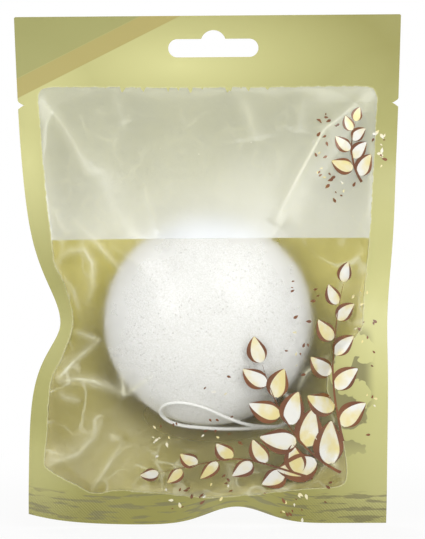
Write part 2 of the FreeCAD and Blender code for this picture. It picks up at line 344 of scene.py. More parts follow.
thread = cotton_thread()
knot = add_piece("thread_knot", *tied_thread(), thread)
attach(knot, "sponge")
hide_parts("loop_knot")


# Hanging loop: one limp length of the same cotton thread, which leaves the rim, lies on the foot of the
# dome in a narrow eye, crosses itself, and goes back into the rim.
cord_straight = 3.7 * MM
cord_rings = 560
# The loop's route in mm, from the middle of the sponge in the plane of the weld.
loop_route = np.array([
    (30.2, 0.3, -32.1),
    (28.7, -0.8, -35.5),
    (25.5, -2.4, -37.4),
    (20.4, -4.7, -37.4),
    (13.6, -8.6, -36.5),
    (6.6, -12.3, -33.9),
    (0.0, -16.6, -30.5),
    (-5.7, -18.0, -28.4),
    (-11.3, -17.0, -27.9),
    (-15.3, -14.9, -28.6),
    (-17.4, -11.2, -30.7),
    (-16.8, -8.4, -33.0),
    (-13.8, -6.2, -35.4),
    (-9.2, -5.7, -36.8),
    (-3.5, -6.9, -37.3),
    (2.1, -5.8, -37.8),
    (7.8, -4.6, -38.1),
    (13.6, -3.2, -38.0),
    (19.8, -1.4, -37.9),
    (25.4, 0.7, -37.7),
    (28.9, 2.2, -35.7),
    (30.6, 3.0, -32.2),
]) * MM


def loop_line():
    """The smooth line of the loop: a spline of order 3 whose control points are the route's points."""
    start, end = (exit_direction * (sponge_radius + strand_proud) + [0, depth, 0] for depth in exit_depths)
    out = exit_direction * cord_straight
    route = sponge_middle + np.vstack([start, start + out, loop_route, end + out, end])
    curve = bpy.data.curves.new("loop_line", "CURVE")
    curve.dimensions = "3D"
    spline = curve.splines.new("NURBS")
    spline.points.add(len(route) - 1)
    spline.points.foreach_set("co", np.column_stack([route, np.ones(len(route))]).ravel())
    spline.order_u = 3
    spline.use_endpoint_u = True
    line = bpy.data.objects.new("loop_line", curve)
    mesh = bpy.data.meshes.new_from_object(line)
    places = np.zeros(3 * len(mesh.vertices))
    mesh.vertices.foreach_get("co", places)
    bpy.data.objects.remove(line)
    bpy.data.curves.remove(curve)
    bpy.data.meshes.remove(mesh)
    return resampled(places.reshape(-1, 3), cord_rings)


loop_path = loop_line()
loop = add_piece("thread_loop", *thread_tube(loop_path, loop_path - sponge_middle, False), thread)
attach(loop, "sponge")
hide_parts("hang_loop")


# Back film: the rear web of the pouch, an opaque olive laminate, welded to the front web round all four
# sides. It is drawn over the flat back of the sponge, and below the tear line it is the pouch's rear wall.
pouch_width = 138 * MM
pouch_height = 180.7 * MM
film_gauge = 0.2 * MM
top_level = 11.5 * MM
seal_level = -14.2 * MM
tear_level = -19.9 * MM
middle_x = -2.2 * MM
side_seal = 7.4 * MM
left_lean = 4.1 * MM
right_lean = 6.6 * MM
left_margin = 8.2 * MM
left_reach_above = 21.5 * MM
left_reach_below = 15 * MM
right_pinch = 1.8 * MM
right_reach = 25 * MM
bottom_arch = 6.6 * MM
bottom_arch_offset = 7.1 * MM
bottom_arch_reach = 14.9 * MM
left_corner_lift = 6.2 * MM
right_corner_lift = 0.4 * MM
corner_lift_power = 4
bottom_fade_power = 5
bottom_wave = 2.5 * MM
bottom_wave_length = 74 * MM
notch_depth = 2 * MM
notch_half = 1.3 * MM
film_room = 0.4 * MM
film_slack = 2.0 * MM
film_slack_below = 1.6 * MM
dome_power = 2
base_power = 4
film_columns = 190
film_rows = 215
weld_ripple = 0.6 * MM
weld_ripple_size = 17 * MM
weld_ripple_seed = 11
weld_ripple_least = 0.15
weld_close_power = 12
side_wave = 1.5 * MM
side_wave_length = 50 * MM
side_wave_drop = 5.1 * MM
side_wave_lean = 11 * MM
crumple_height = 0.5 * MM
crumple_size = 14 * MM
crumple_ramp = 6
front_crumple_seed = 31
back_crumple_seed = 21
fold_crest = 0.6
fold_skirt = 2.6
fold_end_power = 0.4
fold_ramp = 18
fold_room = 8 * MM
fold_top = 35 * MM
fold_fade = 8 * MM
crease_most = 1
crease_spread = 0.6
crimp_pitch = 0.8 * MM
film_fall = seal_level - (top_level - pouch_height)
# The inner edge of the weld round the window, as (x, z) points in mm.
window_outline = np.array([
    (-62.4, -15.9), (-61.9, -14.3), (-60.1, -13.6), (-38.1, -13.6), (-19.6, -14.0), (19.8, -14.2),
    (40.7, -14.0), (54.9, -14.1), (57.0, -14.6), (57.9, -16.8), (56.9, -36.6), (55.3, -61.5),
    (54.1, -76.0), (52.6, -90.9), (52.5, -99.5), (48.9, -103.7), (42.8, -108.6), (39.6, -115.3),
    (39.2, -123.5), (43.0, -128.1), (44.4, -134.2), (45.4, -143.1), (46.4, -150.2), (46.0, -154.1),
    (43.9, -156.2), (29.0, -156.8), (13.0, -158.4), (-3.7, -159.4), (-20.7, -157.8), (-36.3, -156.6),
    (-41.7, -157.9), (-45.9, -157.3), (-48.1, -155.3), (-55.1, -151.9), (-61.5, -147.9), (-60.0, -137.3),
    (-59.6, -128.1), (-59.2, -121.3), (-58.2, -116.4), (-55.3, -111.4), (-51.6, -102.2), (-50.5, -99.4),
    (-50.4, -93.7), (-53.2, -83.4), (-57.0, -76.6), (-57.7, -68.4), (-59.4, -55.3), (-61.0, -35.7),
    (-62.4, -15.9),
]) * MM
outline_points = 480
rounding_steps = range(-2, 3)
weld_line = resampled(window_outline, outline_points, closed=True)
weld_line = np.mean([np.roll(weld_line, step, axis=0) for step in rounding_steps], axis=0)
weld_angles = np.arctan2(weld_line[:, 1] - sponge_z, weld_line[:, 0] - sponge_x)
weld_reaches = np.hypot(weld_line[:, 1] - sponge_z, weld_line[:, 0] - sponge_x)
corner_steps = range(-26, 27)
drawn_reaches = np.mean([np.roll(weld_reaches, step) for step in corner_steps], axis=0)
# Each fold has its height and width in mm and the (x, z) points of its route in mm.
folds = [
    (1.5, 2.0, [(57.4, -15.0), (38.8, -29.4), (29.5, -46.0), (20.5, -63.0)]),
    (0.7, 2.4, [(57.4, -16.1), (36.9, -47.9)]),
    (0.8, 3.4, [(8.1, -13.9), (12.9, -25.3), (14.0, -33.0)]),
    (0.9, 2.2, [(-61.5, -16.1), (-54.1, -26.3), (-49.1, -34.8), (-45.0, -46.0)]),
    (0.9, 1.8, [(-60.3, -35.3), (-59.0, -43.7), (-58.0, -55.7)]),
    (1.0, 1.6, [(-58.6, -55.5), (-54.0, -63.0), (-52.0, -66.5)]),
    (1.0, 1.3, [(-51.1, -59.7), (-41.1, -69.2), (-32.6, -79.1)]),
    (0.5, 1.2, [(-37.0, -69.5), (-29.0, -75.0), (-23.0, -80.0)]),
    (0.5, 1.2, [(-24.9, -49.2), (-19.0, -66.6)]),
    (0.5, 1.4, [(25.1, -60.2), (17.6, -69.7)]),
    (1.6, 1.8, [(-56.5, -75.5), (-51.0, -71.5), (-45.8, -71.2), (-43.0, -76.0), (-43.0, -84.0),
                (-45.0, -91.0)]),
    (0.9, 1.2, [(-54.0, -80.0), (-50.0, -86.0), (-47.5, -94.0)]),
    (1.2, 1.2, [(-51.0, -99.8), (-40.4, -102.8)]),
    (1.7, 1.6, [(-40.4, -102.8), (-49.6, -110.3), (-56.8, -117.7)]),
    (1.7, 2.2, [(-57.0, -118.2), (-48.6, -116.7), (-43.1, -117.2), (-37.1, -119.7), (-31.6, -122.0)]),
    (1.0, 1.2, [(-33.5, -113.0), (-31.6, -122.0), (-21.2, -114.7)]),
    (0.9, 1.6, [(-56.0, -121.2), (-53.5, -123.2), (-47.0, -124.8)]),
    (1.4, 2.0, [(-60.3, -148.9), (-56.1, -146.1), (-49.1, -143.6), (-43.1, -137.2), (-40.0, -130.0)]),
    (1.7, 1.8, [(-45.1, -157.1), (-41.1, -151.6), (-37.1, -145.6), (-32.1, -138.2)]),
    (1.0, 1.4, [(28.2, -121.6), (31.4, -114.9), (41.1, -108.9)]),
    (0.6, 3.0, [(-36.0, -13.6), (-32.0, -27.0)]),
    (0.6, 3.0, [(33.0, -14.0), (29.0, -30.0)]),
    (1.1, 2.0, [(45.0, -153.0), (39.0, -144.0), (33.0, -136.0)]),
    (0.8, 2.0, [(6.0, -158.0), (4.0, -146.0)]),
    (0.8, 1.6, [(53.0, -72.0), (47.0, -78.0), (43.0, -88.0)]),
]


def drawn_in(level, depth, reach_above, reach_below):
    """A smooth bay in a side edge, depth / (1 + (away / reach) squared), deepest beside the middle of the
    sponge."""
    away = level - sponge_z
    return depth / (1 + (away / np.where(away > 0, reach_above, reach_below)) ** 2)


def left_edge(level):
    """A straight edge that leans in downwards, with a bay close to the sponge."""
    beside_sponge = middle_x - pouch_width / 2 + left_lean * (top_level - sponge_z) / pouch_height
    depth = sponge_x - sponge_radius - left_margin - side_seal - beside_sponge
    leaning = middle_x - pouch_width / 2 + left_lean * (top_level - level) / pouch_height
    return leaning + drawn_in(level, depth, left_reach_above, left_reach_below)


def right_edge(level):
    """A straight edge that leans in downwards, with a shallow bay beside the sponge."""
    leaning = middle_x + pouch_width / 2 - right_lean * (top_level - level) / pouch_height
    return leaning - drawn_in(level, right_pinch, right_reach, right_reach)


def bottom_rise(x):
    """Height of the bottom edge over its lowest level: an arch under the sponge and two lifted corners."""
    arch = bottom_arch * np.exp(-((x - bottom_arch_offset) / bottom_arch_reach) ** 2)
    aside = (x - middle_x) / (pouch_width / 2)
    lift = np.where(aside < 0, left_corner_lift, right_corner_lift)
    return arch + lift * np.abs(aside) ** corner_lift_power


def to_run(x, z, start, step):
    """Distance to a straight run, and the share of the run at which it is nearest."""
    share = np.clip(((x - start[0]) * step[0] + (z - start[1]) * step[1]) / (step @ step), 0, 1)
    return np.hypot(x - start[0] - share * step[0], z - start[1] - share * step[1]), share


def fold_rise(x, z, creases, spread):
    """How far folds stand up: each is highest on its route, exp(-distance / width) beside it with a lower,
    wider skirt, and fades out at both ends. The spread widens or narrows them all."""
    total = np.zeros(np.shape(x))
    for height, width, route in creases:
        route = np.array(route) * MM
        runs = np.linalg.norm(np.diff(route, axis=0), axis=1)
        nearest = np.full(np.shape(x), np.inf)
        along = np.zeros(np.shape(x))
        for start, step, run, before in zip(route, np.diff(route, axis=0), runs, np.cumsum(runs) - runs):
            distance, share = to_run(x, z, start, step)
            along = np.where(distance < nearest, before + share * run, along)
            nearest = np.minimum(nearest, distance)
        fading = np.clip(np.sin(np.pi * along / np.sum(runs)), 0, 1) ** fold_end_power
        away = nearest / (width * MM * spread)
        form = fold_crest * np.exp(-away) + (1 - fold_crest) * np.exp(-(away / fold_skirt) ** 2)
        total = total + height * MM * fading * form
    return total


def reach_towards(x, z, reaches):
    """Distance from the middle of the sponge to the weld, in the direction of a point."""
    return np.interp(np.arctan2(z - sponge_z, x - sponge_x), weld_angles, reaches, period=2 * np.pi)


def window_share(x, z):
    """Distance from the middle of the sponge as a share of the way to the weld, and that way."""
    reach = reach_towards(x, z, weld_reaches)
    return np.hypot(x - sponge_x, z - sponge_z) / reach, reach


def film_height(x, z, crown, power, seed):
    """Film drawn from the weld over the sponge: the sponge's own curve up to the point where a straight run
    from the weld touches it, that run beyond, a little slack and crumples. The run goes to the weld with its
    corners rounded, so that no ridge forms, and it comes down to 0 at the weld itself."""
    share, reach = window_share(x, z)
    share = np.clip(share, 0, 1)
    distance = share * reach
    reach = reach_towards(x, z, drawn_reaches)
    drawn = np.clip(distance / reach, 0, 1)
    rim = sponge_radius + film_room
    touch = (rim ** power / reach) ** (1 / (power - 1))

    def over_sponge(radius):
        """Height over the sponge, where the shares of rim and crown, each to the power, add up to 1."""
        return (crown + film_room) * (1 - np.clip(radius / rim, 0, 1) ** power) ** (1 / power)

    straight = over_sponge(touch) * (1 - drawn) * reach / (reach - touch)
    taut = np.where(distance <= touch, over_sponge(distance), straight)
    crumple = crumple_height * (1 + lumps(np.stack([x, 0 * x, z], axis=-1), crumple_size, seed)) / 2
    upward = (z - sponge_z) / np.maximum(distance, MM)
    slack = film_slack_below + (film_slack - film_slack_below) * (1 + np.clip(upward, -1, 1)) / 2
    height = (taut + slack * 4 * drawn * (1 - drawn)) * (1 - share ** weld_close_power)
    return height + crumple * np.clip(crumple_ramp * (1 - share), 0, 1)


def on_sheet(x, level, side):
    """Points on the inner face of a web, side -1 for the front and 1 for the back: down the web the bottom
    edge rises and swings more and more, the side welds swing in long waves, the film stands off the plane of
    the weld by its height, and both webs fold together towards the front, the back one only beside and below
    the sponge."""
    fade = np.clip((seal_level - level) / film_fall, 0, 1) ** bottom_fade_power
    z = level + bottom_rise(x) * fade
    swing = -bottom_wave * np.cos(2 * np.pi * (x - bottom_arch_offset) / bottom_wave_length) * fade
    started = np.clip((seal_level - level) / side_wave_length, 0, 1)
    aside = (x - middle_x) / (pouch_width / 2)
    turn = 2 * np.pi * (level - sponge_z + side_wave_drop + side_wave_lean * aside) / side_wave_length
    swing = swing - side_wave * aside * np.abs(aside) * started * np.cos(turn)
    ripple = weld_ripple * lumps(np.stack([x, 0 * x, z], axis=-1), weld_ripple_size, weld_ripple_seed)
    swing = swing + ripple * np.maximum(started, weld_ripple_least)
    share, reach = window_share(x, z)
    folded = fold_rise(x, z, folds, 1) * np.clip(fold_ramp * (1 - share), 0, 1)
    if side < 0:
        height = film_height(x, z, sponge_dome, dome_power, front_crumple_seed)
    else:
        height = film_height(x, z, sponge_base, base_power, back_crumple_seed)
        folded = folded * np.clip((share * reach - sponge_radius) / fold_room, 0, 1)
        folded = folded * np.clip((sponge_z + fold_top - z) / fold_fade, 0, 1)
    return np.stack([x, swing - folded + side * height, z], axis=-1)


def weld_depth(points):
    """Distance from the edge of the weld: above 0 in the weld, below 0 in the window."""
    x = points[..., 0]
    z = points[..., 2]
    nearest = np.full(x.shape, np.inf)
    for start, end in zip(weld_line, np.roll(weld_line, -1, axis=0)):
        nearest = np.minimum(nearest, to_run(x, z, start, end - start)[0])
    return np.where(window_share(x, z)[0] < 1, -nearest, nearest)


def facing(points, closed):
    """Unit normals of a grid: along the row crossed with down the column."""
    if closed:
        across = np.roll(points, -1, axis=1) - np.roll(points, 1, axis=1)
    else:
        across = np.gradient(points, axis=1)
    normal = np.cross(across, np.gradient(points, axis=0))
    return normal / np.linalg.norm(normal, axis=-1, keepdims=True)


def shell(points, thickness, closed=False):
    """A grid and a second one a thickness outside it, closed along its borders into one thin solid."""
    rows, columns = points.shape[:2]
    outside = points + thickness * facing(points, closed)
    outer = np.arange(rows * columns).reshape(rows, columns)
    inner = outer + rows * columns
    faces = grid_faces(rows, columns, closed)
    lines = [(inner[0], outer[0], False), (inner[-1], outer[-1], True)]
    if not closed:
        lines += [(inner[:, 0], outer[:, 0], True), (inner[:, -1], outer[:, -1], False)]
    borders = []
    for inside, out, backwards in lines:
        strip = np.stack([inside, np.roll(inside, -1), np.roll(out, -1), out], axis=1)
        strip = strip if closed else strip[:-1]
        borders.append(strip[:, ::-1] if backwards else strip)
    faces = np.vstack([faces, faces[:, ::-1] + rows * columns, *borders])
    return np.vstack([outside.reshape(-1, 3), points.reshape(-1, 3)]), faces.tolist()


def add_film(name, points, level, material, closed=False):
    """A web of film as a thin closed shell that carries its distance from the edge of the weld, its places
    on the web before the filling pulled it, and how sharply it is creased."""
    piece = add_piece(name, *shell(points, film_gauge, closed), material)
    x, z = points[..., 0], points[..., 2]
    sharp = [(min(height, crease_most), width, route) for height, width, route in folds]
    crease = np.clip(fold_rise(x, z, sharp, crease_spread) / MM, 0, 1)
    for label, values in (("weld_depth", weld_depth(points)), ("crease", crease)):
        carried = piece.data.attributes.new(label, "FLOAT", "POINT")
        carried.data.foreach_set("value", np.tile(values.ravel(), 2))
    flat = np.stack([x, 0 * level, level], axis=-1)
    carried = piece.data.attributes.new("flat_place", "FLOAT_VECTOR", "POINT")
    carried.data.foreach_set("vector", np.tile(flat.ravel(), 2))
    return piece


def wall_grid():
    """Sideways places and levels of the pouch below the tear line, with half a notch at both upper
    corners."""
    level = np.linspace(tear_level, top_level - pouch_height, film_rows)[:, None]
    cut = notch_depth * np.clip(1 - (tear_level - level) / notch_half, 0, 1)
    share = np.linspace(0, 1, film_columns)
    left = left_edge(level) + cut
    return left + share * (right_edge(level) - cut - left), level + 0 * share


def new_group(name, inputs, outputs):
    """An empty shader node group with named inputs and outputs, and the two nodes at its ends."""
    tree = bpy.data.node_groups.new(name, "ShaderNodeTree")
    for sockets, way in ((inputs, "INPUT"), (outputs, "OUTPUT")):
        for socket, kind in sockets.items():
            tree.interface.new_socket(socket, in_out=way, socket_type="NodeSocket" + kind)
    return tree, tree.nodes.new("NodeGroupInput").outputs, tree.nodes.new("NodeGroupOutput").inputs


def scaled(tree, value, factor, offset):
    """The value times the factor, plus the offset."""
    return maths(tree, "MULTIPLY_ADD", value, factor, offset)


def between(tree, value, rise, fall):
    """1 between two soft steps, each given by the values at its foot and at its top, and 0 beyond them."""
    return product(tree, eased(tree, value, *rise), eased(tree, value, *fall))


def weld_marks_group():
    """Marks of the welding jaws: ragged blotches where the webs did not fuse, drawn out along the bottom and
    rounder at the right, and a fine slanted crimp at both bottom corners."""
    tree, given, result = new_group("weld_marks", {"Place": "Vector"}, {"Blotch": "Float", "Crimp": "Float"})
    place = given["Place"]
    parts = put(tree, "SeparateXYZ", {0: place})
    x, level = parts.outputs["X"], parts.outputs["Z"]
    flowing = put(tree, "Mapping", {"Vector": place, "Scale": (0.13, 1, 1)}).outputs[0]
    streak = eased(tree, noise(tree, flowing, 1.5 * MM, 4.0), 0.52, 0.58)
    streak = product(tree, streak, eased(tree, level, -157.5 * MM, -159 * MM))
    blob = eased(tree, noise(tree, place, 8.5 * MM, 2.5), 0.51, 0.525)
    beside = between(tree, x, (38 * MM, 41 * MM), (57 * MM, 52 * MM))
    upright = between(tree, level, (-98 * MM, -104 * MM), (-150 * MM, -136 * MM))
    blob = product(tree, blob, beside, upright)
    tree.links.new(maths(tree, "MAXIMUM", streak, blob), result["Blotch"])
    slanted = put(tree, "Mapping", {"Vector": place, "Rotation": (0, math.radians(45), 0)}).outputs[0]
    # The bands of a Wave node are 2 pi / (20 * scale) apart.
    inputs = {"Vector": slanted, "Scale": 2 * math.pi / (20 * crimp_pitch)}
    wave = put(tree, "TexWave", inputs, bands_direction="X").outputs["Fac"]
    aside = maths(tree, "ABSOLUTE", maths(tree, "SUBTRACT", x, middle_x))
    corner = product(tree, eased(tree, aside, 22 * MM, 44 * MM), eased(tree, level, -158 * MM, -164 * MM))
    tree.links.new(product(tree, wave, corner), result["Crimp"])
    return tree


def dust_group():
    """A few tiny pale specks: the cores of far-apart cells."""
    tree, given, result = new_group("film_dust", {"Place": "Vector"}, {"Speck": "Float"})
    cells = put(tree, "TexVoronoi", {"Vector": given["Place"], "Scale": 1 / (4.5 * MM)}, feature="F1")
    chosen = put(tree, "SeparateColor", {0: cells.outputs["Color"]}).outputs[0]
    core = eased(tree, cells.outputs["Distance"], 0.075, 0.045)
    tree.links.new(product(tree, core, eased(tree, chosen, 0.7, 0.75)), result["Speck"])
    return tree


weld_marks = weld_marks_group()
film_dust = dust_group()


def from_sponge(tree, place):
    """Distance of a place from the middle of the sponge, taken in the plane of the weld."""
    inputs = {0: place, 1: tuple(sponge_middle)}
    return put(tree, "VectorMath", inputs, operation="DISTANCE").outputs["Value"]


def back_laminate():
    """Opaque olive laminate: even ink outside, and inside clouded ink that is darker than outside as painted
    shade, lighter towards the top as painted light, and darker still as painted shade below and around the
    sponge; the marks of the weld, and a satin skin with a faint orange peel."""
    material, tree, surface = new_material("back_film")
    place = put(tree, "TexCoord").outputs["Object"]
    level = put(tree, "SeparateXYZ", {0: place}).outputs["Z"]
    flat = put(tree, "Attribute", attribute_name="flat_place").outputs["Vector"]
    marks = put(tree, "Group", {"Place": flat}, node_tree=weld_marks).outputs
    cloud = eased(tree, noise(tree, place, 22 * MM, 3.0), 0.35, 0.65)
    peel = noise(tree, place, 1.1 * MM, 2.0)
    outer_ink = mixed(tree, cloud, srgb(166, 159, 86), srgb(174, 167, 95))
    # Painted shade: the inner face's ink is darker than the outer face's, for the shade inside the pouch.
    ink = mixed(tree, cloud, srgb(138, 128, 58), srgb(158, 148, 76))
    # Painted light: the inner ink grows lighter towards the top, where more light falls into the pouch.
    lighter = mixed(tree, cloud, srgb(178, 168, 78), srgb(196, 186, 98))
    ink = mixed(tree, eased(tree, level, sponge_z - 40 * MM, sponge_z + 22 * MM), ink, lighter)
    # Painted shade: the ink darkens below and around the sponge, where its shadow falls on the back film.
    low = eased(tree, level, sponge_z - 2 * MM, sponge_z - 30 * MM)
    painted_sponge_shade = product(tree, eased(tree, from_sponge(tree, place), 50 * MM, 36 * MM), low)
    ink = mixed(tree, product(tree, painted_sponge_shade, 0.75), ink, srgb(74, 60, 26))
    normal = put(tree, "NewGeometry").outputs["Normal"]
    facing_in = put(tree, "SeparateXYZ", {0: normal}).outputs["Y"]
    ink = mixed(tree, eased(tree, facing_in, 0.1, -0.1), outer_ink, ink)
    height = scaled(tree, peel, 0.25, marks["Crimp"])
    bump = put(tree, "Bump", {"Height": height, "Strength": 0.5, "Distance": 0.12 * MM})
    skin = put(tree, "BsdfPrincipled", {
        "Base Color": mixed(tree, product(tree, marks["Blotch"], 0.6), ink, srgb(108, 101, 58)),
        "Roughness": scaled(tree, peel, 0.15, 0.36),
        "Normal": bump.outputs[0],
        "Coat Weight": 0.3,
        "Coat Roughness": 0.14,
    })
    tree.links.new(skin.outputs[0], surface)
    return material


def flatten(piece):
    """Gives the piece its own copy of its mesh."""
    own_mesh(piece)


back_skin = back_laminate()
wall_x, wall_level = wall_grid()
back_points = on_sheet(wall_x, wall_level, 1)
back_wall = add_film("back_wall", back_points, wall_level, back_skin)
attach(back_wall, "pouch")
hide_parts("pouch_back_film")
flatten(back_wall)


# Front film: the front web of the pouch, a clear laminate with a milky printed panel above the sponge, and
# fused to the olive back web in the weld. It is drawn over the dome and folded where the filling pulls at
# its corners.
panel_edge = -67.8 * MM
band_slope = 0.4965


def front_laminate():
    """Three finishes on one web: fused to the olive back in the weld, milky with white ink in the panel, and
    clear in the window, with a haze beside the sponge. Light from the lamps goes straight through the film
    to what lies behind it."""
    material, tree, surface = new_material("front_film")
    place = put(tree, "TexCoord").outputs["Object"]
    parts = put(tree, "SeparateXYZ", {0: place})
    x, z = parts.outputs["X"], parts.outputs["Z"]
    flat = put(tree, "Attribute", attribute_name="flat_place").outputs["Vector"]
    marks = put(tree, "Group", {"Place": flat}, node_tree=weld_marks).outputs
    speck = put(tree, "Group", {"Place": place}, node_tree=film_dust).outputs["Speck"]
    peel = noise(tree, place, 1.3 * MM, 2.0)
    crumple = noise(tree, place, 6 * MM, 3.0)

    def glow(middle, reach):
        """1 in the middle of a soft oval, falling to 0 at its reach."""
        inputs = {"Vector": place, "Location": (middle[0] * MM, 0, middle[1] * MM)}
        inputs["Scale"] = (reach[0] * MM, 1, reach[1] * MM)
        oval = put(tree, "Mapping", inputs, vector_type="TEXTURE").outputs[0]
        return put(tree, "TexGradient", {0: oval}, gradient_type="SPHERICAL").outputs["Fac"]

    runs = put(tree, "CombineXYZ", {"X": x}).outputs[0]
    drip = eased(tree, noise(tree, runs, 3.4 * MM, 2.0), 0.5, 0.66)
    upper = eased(tree, z, -26 * MM, -22 * MM)
    upper = product(tree, upper, between(tree, x, (-40 * MM, -34 * MM), (22 * MM, 16 * MM)))
    wobble = scaled(tree, noise(tree, place, 2.6 * MM, 2.0), 1.0 * MM, -0.5 * MM)
    depth = maths(tree, "ADD", put(tree, "Attribute", attribute_name="weld_depth").outputs["Fac"], wobble)
    depth = scaled(tree, product(tree, drip, upper), 1.9 * MM, depth)
    fused = eased(tree, depth, -0.12 * MM, 0.12 * MM)
    # Painted highlight: a thin pale line along the inner edge of the weld, where the film bends.
    painted_rim_highlight = eased(tree, maths(tree, "ABSOLUTE", depth), 0.45 * MM, 0.1 * MM)

    # Painted light: the weld's olive grows lighter in soft ovals across the header and down both side welds,
    # where light falls more fully on the film.
    light = 0.0
    for middle, reach, strength in (
        ((-12, -6), (76, 30), 1.0),
        ((-66, -40), (30, 46), 1.0),
        ((-56, -100), (26, 34), 0.45),
        ((-64, -142), (24, 34), 0.45),
        ((62, -100), (44, 100), 1.2),
    ):
        light = scaled(tree, glow(middle, reach), strength, light)
    olive = mixed(tree, maths(tree, "MINIMUM", light, 1.0), srgb(138, 134, 64), srgb(198, 196, 132))
    slant = scaled(tree, x, -band_slope, z)
    for mask, strength, colour in (
        (eased(tree, slant, 24 * MM, 24.6 * MM), 0.8, srgb(138, 137, 73)),
        (between(tree, slant, (17.1 * MM, 17.4 * MM), (24.4 * MM, 24.1 * MM)), 0.85, srgb(157, 143, 74)),
        (marks["Blotch"], 0.85, srgb(116, 111, 70)),
        (marks["Crimp"], 0.35, srgb(106, 102, 60)),
        (painted_rim_highlight, 0.5, srgb(216, 213, 172)),
    ):
        olive = mixed(tree, product(tree, mask, strength), olive, colour)
    height = scaled(tree, peel, 0.2, marks["Crimp"])
    height = scaled(tree, marks["Blotch"], -0.3, height)
    bump = put(tree, "Bump", {"Height": height, "Strength": 0.5, "Distance": 0.12 * MM})
    weld = put(tree, "BsdfPrincipled", {
        "Base Color": olive,
        "Roughness": scaled(tree, peel, 0.12, 0.38),
        "Normal": bump.outputs[0],
        "Coat Weight": 0.15,
        "Coat Roughness": 0.12,
    })

    soft = put(tree, "Bump", {"Height": crumple, "Strength": 0.35, "Distance": 0.5 * MM}).outputs[0]
    # The milk is clouded at random and, as painted light, grows lighter towards the bottom of the panel,
    # where the lit sponge shows through.
    clouded_and_painted_light = scaled(tree, noise(tree, place, 21 * MM, 1.0), 0.5, -0.25)
    clouded_and_painted_light = maths(tree, "ADD", clouded_and_painted_light, eased(tree, z, -24 * MM, panel_edge), clamp=True)
    milk = mixed(tree, clouded_and_painted_light, srgb(217, 220, 214), srgb(243, 246, 250))
    panel = put(tree, "BsdfPrincipled", {
        "Base Color": mixed(tree, speck, milk, srgb(255, 255, 255)),
        "Roughness": 0.85,
        "IOR": 1.2,
        "Normal": soft,
        "Transmission Weight": 0.76,
        "Coat Weight": 0.7,
        "Coat Roughness": 0.2,
    })

    across = put(tree, "CombineXYZ", {"X": x, "Z": z}).outputs[0]
    slack = eased(tree, scaled(tree, crumple, 30 * MM, from_sponge(tree, across)), 41 * MM, 55 * MM)
    slack = product(tree, slack, eased(tree, glow((0, -129), (36, 14)), 0.4, 0.05))
    window = put(tree, "BsdfPrincipled", {
        "Base Color": mixed(tree, speck, srgb(253, 253, 252), srgb(255, 255, 255)),
        "Roughness": scaled(tree, slack, 0.26, 0.22),
        "IOR": 1.15,
        "Normal": soft,
        "Transmission Weight": 0.995,
        "Coat Weight": 0.2,
        "Coat Roughness": 0.35,
    })

    # Partly whitening from stress in the film and partly painted glints: a pale matt finish laid along fold
    # crests and along thin wrinkle lines out beyond the sponge, where the folds would catch the lamps.
    stress_white_and_glint = put(tree, "BsdfPrincipled", {
        "Base Color": srgb(240, 238, 210),
        "Roughness": 0.5,
        "Normal": soft,
        "Coat Weight": 0.6,
        "Coat Roughness": 0.3,
    })
    crease = put(tree, "Attribute", attribute_name="crease").outputs["Fac"]
    patchy = eased(tree, noise(tree, place, 8 * MM, 2.0), 0.3, 0.65)
    crest = product(tree, eased(tree, crease, 0.72, 1.0), scaled(tree, patchy, 0.4, 0.06))
    bend = maths(tree, "ABSOLUTE", maths(tree, "SUBTRACT", noise(tree, place, 13 * MM, 1.5), 0.5))
    loose = product(tree, patchy, eased(tree, from_sponge(tree, place), 42 * MM, 52 * MM))
    crest = scaled(tree, product(tree, eased(tree, bend, 0.035, 0.0), loose), 0.2, crest)
    over_panel = eased(tree, z, panel_edge - 0.1 * MM, panel_edge + 0.1 * MM)
    crest = product(tree, crest, scaled(tree, over_panel, -0.6, 1.0))
    whitening_and_painted_glint = scaled(tree, eased(tree, crease, 0.1, 0.9), 0.14, crest)

    rays = put(tree, "LightPath").outputs
    tint = mixed(tree, over_panel, (0.985, 0.985, 0.98, 1), (0.95, 0.95, 0.94, 1))
    through = put(tree, "BsdfTransparent", {"Color": tint})
    tint = mixed(tree, over_panel, (0.88, 0.88, 0.87, 1), (0.86, 0.86, 0.85, 1))
    slanting = put(tree, "BsdfTransparent", {"Color": tint})
    film = put(tree, "MixShader", {0: over_panel, 1: window.outputs[0], 2: panel.outputs[0]})
    film = put(tree, "MixShader", {0: whitening_and_painted_glint, 1: film.outputs[0], 2: stress_white_and_glint.outputs[0]})
    film = put(tree, "MixShader", {0: rays["Is Diffuse Ray"], 1: film.outputs[0], 2: slanting.outputs[0]})
    film = put(tree, "MixShader", {0: rays["Is Shadow Ray"], 1: film.outputs[0], 2: through.outputs[0]})
    film = put(tree, "MixShader", {0: fused, 1: film.outputs[0], 2: weld.outputs[0]})
    tree.links.new(film.outputs[0], surface)
    return material


front_skin = front_laminate()
front_points = on_sheet(wall_x, wall_level, -1)
front_wall = add_film("front_wall", front_points[::-1], wall_level[::-1], front_skin)
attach(front_wall, "pouch")
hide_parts("pouch_front_film")
flatten(front_wall)


# Header: the two webs above the tear line, welded flat, with a punched hang slot. A tear starts at the
# notches in both edges and takes the header off in one strip, so it is a piece of its own in each web.
slot_half = 16 * MM
slot_end = 3.25 * MM
hump_radius = 4.5 * MM
hump_rise = 3.1 * MM
header_columns = 420
header_rows = 46
arc_steps = 40
edge_steps = 12


